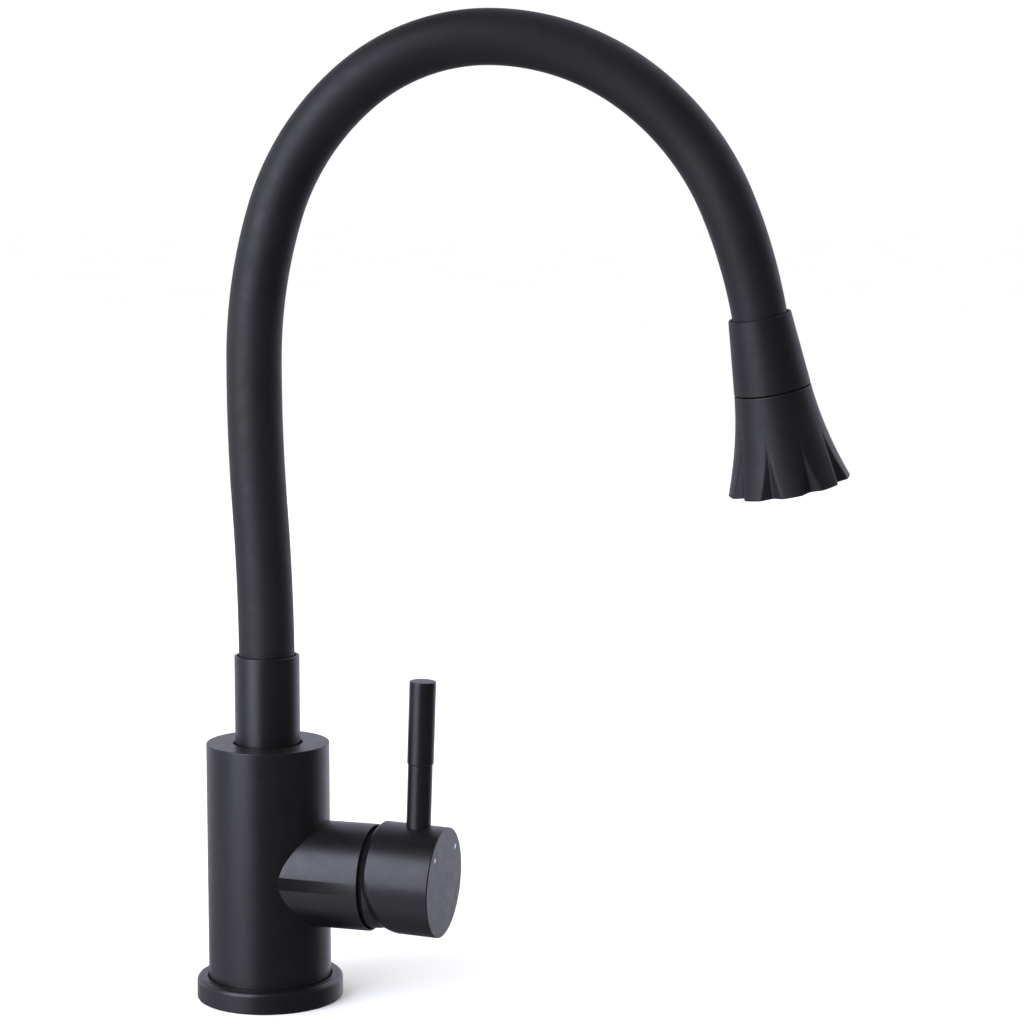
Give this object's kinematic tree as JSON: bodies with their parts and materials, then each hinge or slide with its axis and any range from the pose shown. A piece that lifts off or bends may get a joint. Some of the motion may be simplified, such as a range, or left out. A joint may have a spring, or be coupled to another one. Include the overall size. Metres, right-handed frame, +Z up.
{
  "type": "flexible spout kitchen mixer",
  "caption": "Deck-mounted single-lever kitchen mixer with a bendable silicone-sleeved gooseneck and a petal-shaped rotating spray head.",
  "frame": {"origin": "body axis at the deck plane, the underside of the flange", "axes": "+Z up along the body, +X out along the cartridge axis through the handle, -Y towards the user; the spout stands 17 degrees from +X"},
  "size_m": [0.256, 0.1281, 0.4035],
  "materials": {
    "black_finish": "matte black powder-look finish, softly satin",
    "silicone": "matte black silicone",
    "black_plastic": "matte black moulded plastic",
    "brass": "machined brass",
    "steel": "brushed stainless steel",
    "resin": "off-white moulded resin",
    "ceramic": "polished alumina ceramic",
    "seal": "black nitrile rubber",
    "hot": "red enamel dot",
    "cold": "blue enamel dot"
  },
  "bodies": {
    "body": {"base_flange": "black_finish", "base_gasket": "seal", "body_shell": "black_finish", "inlet_block": "brass", "supply_pipes": "steel", "outlet_pipe": "steel", "cartridge_seat": "brass", "cartridge_base": "resin", "base_seals": "seal", "fixed_disc": "ceramic", "cartridge_housing": "resin", "cartridge_nut": "brass", "trim_ring": "black_plastic", "spout_socket": "brass", "swivel_set_screw": "steel", "top_washer": "resin"},
    "rotor": {"cartridge_rotor": "resin", "rotor_pin": "steel"},
    "disc": {"moving_disc": "ceramic", "disc_carrier": "resin"},
    "handle": {"cartridge_stem": "steel", "handle_hub": "black_finish", "lever_rod": "black_finish", "lever_grip": "black_finish", "handle_set_screw": "steel", "hot_mark": "hot", "cold_mark": "cold", "handle_seal": "seal"},
    "spout": {"spout_shank": "brass", "spout_o_rings": "seal", "spout_collar": "black_finish", "neck_sleeve_1": "silicone", "neck_core_1": "steel"},
    "neck_2": {"neck_sleeve_2": "silicone", "neck_core_2": "steel"},
    "neck_3": {"neck_sleeve_3": "silicone", "neck_core_3": "steel"},
    "neck_4": {"neck_sleeve_4": "silicone", "neck_core_4": "steel"},
    "neck_5": {"neck_sleeve_5": "silicone", "neck_core_5": "steel"},
    "neck_6": {"neck_sleeve_6": "silicone", "neck_core_6": "steel"},
    "neck_7": {"neck_sleeve_7": "silicone", "neck_core_7": "steel"},
    "head": {"neck_sleeve_8": "silicone", "neck_core_8": "steel", "head_ferrule": "black_plastic", "head_connector": "brass", "head_o_ring": "seal", "nozzle_retainer": "steel"},
    "nozzle": {"petal_nozzle": "black_plastic", "spray_plate": "black_plastic", "nozzle_mat": "silicone", "aerator_housing": "black_plastic", "aerator_screen": "steel"}
  },
  "joints": [
    {"name": "spout_swivel", "type": "hinge", "parent": "body", "child": "spout", "pos_m": [0, 0, 0.09], "axis": [0, 0, 1], "continuous": true},
    {"name": "neck_lower_bend", "type": "hinge", "parent": "spout", "child": "neck_2", "pos_m": [-0.00211, -0.00065, 0.20385], "axis": [-0.2924, 0.9563, 0], "range_deg": [-10, 4]},
    {"name": "neck_lower_bend_2", "type": "hinge", "parent": "neck_2", "child": "neck_3", "pos_m": [-0.00372, -0.00114, 0.26382], "axis": [-0.2924, 0.9563, 0], "range_deg": [-10, 4]},
    {"name": "neck_lower_bend_3", "type": "hinge", "parent": "neck_3", "child": "neck_4", "pos_m": [0.00503, 0.00154, 0.3229], "axis": [-0.2924, 0.9563, 0], "range_deg": [-10, 4]},
    {"name": "neck_upper_bend", "type": "hinge", "parent": "neck_4", "child": "neck_5", "pos_m": [0.03608, 0.01103, 0.37242], "axis": [-0.2924, 0.9563, 0], "range_deg": [-12, 8]},
    {"name": "neck_upper_bend_2", "type": "hinge", "parent": "neck_5", "child": "neck_6", "pos_m": [0.08893, 0.02719, 0.3921], "axis": [-0.2924, 0.9563, 0], "range_deg": [-12, 8]},
    {"name": "neck_upper_bend_3", "type": "hinge", "parent": "neck_6", "child": "neck_7", "pos_m": [0.14248, 0.04356, 0.3732], "axis": [-0.2924, 0.9563, 0], "range_deg": [-12, 8]},
    {"name": "head_side_bend", "type": "hinge", "parent": "neck_7", "child": "head", "pos_m": [0.17805, 0.05443, 0.32702], "axis": [-0.8763, -0.2679, -0.4003], "range_deg": [-14, 20]},
    {"name": "nozzle_turn", "type": "hinge", "parent": "head", "child": "nozzle", "pos_m": [0.19513, 0.0675, 0.25081], "axis": [0.1534, 0.1447, -0.9775], "range_deg": [0, 90]},
    {"name": "mixing_turn", "type": "hinge", "parent": "body", "child": "rotor", "pos_m": [0.04, 0, 0.0529], "axis": [1, 0, 0], "range_deg": [-45, 45]},
    {"name": "lever_lift", "type": "hinge", "parent": "rotor", "child": "handle", "pos_m": [0.048, 0, 0.0529], "axis": [0, 1, 0], "range_deg": [0, 18]},
    {"name": "disc_slide", "type": "slide", "parent": "rotor", "child": "disc", "axis": [0, 0, 1], "range_m": [0, 0.00659]}
  ],
  "couplings": [
    {"joint": "neck_lower_bend_2", "follows": "neck_lower_bend", "ratio": 1},
    {"joint": "neck_lower_bend_3", "follows": "neck_lower_bend", "ratio": 1},
    {"joint": "neck_upper_bend_2", "follows": "neck_upper_bend", "ratio": 1},
    {"joint": "neck_upper_bend_3", "follows": "neck_upper_bend", "ratio": 1},
    {"joint": "disc_slide", "follows": "lever_lift", "m_per_rad": 0.020334}
  ]
}
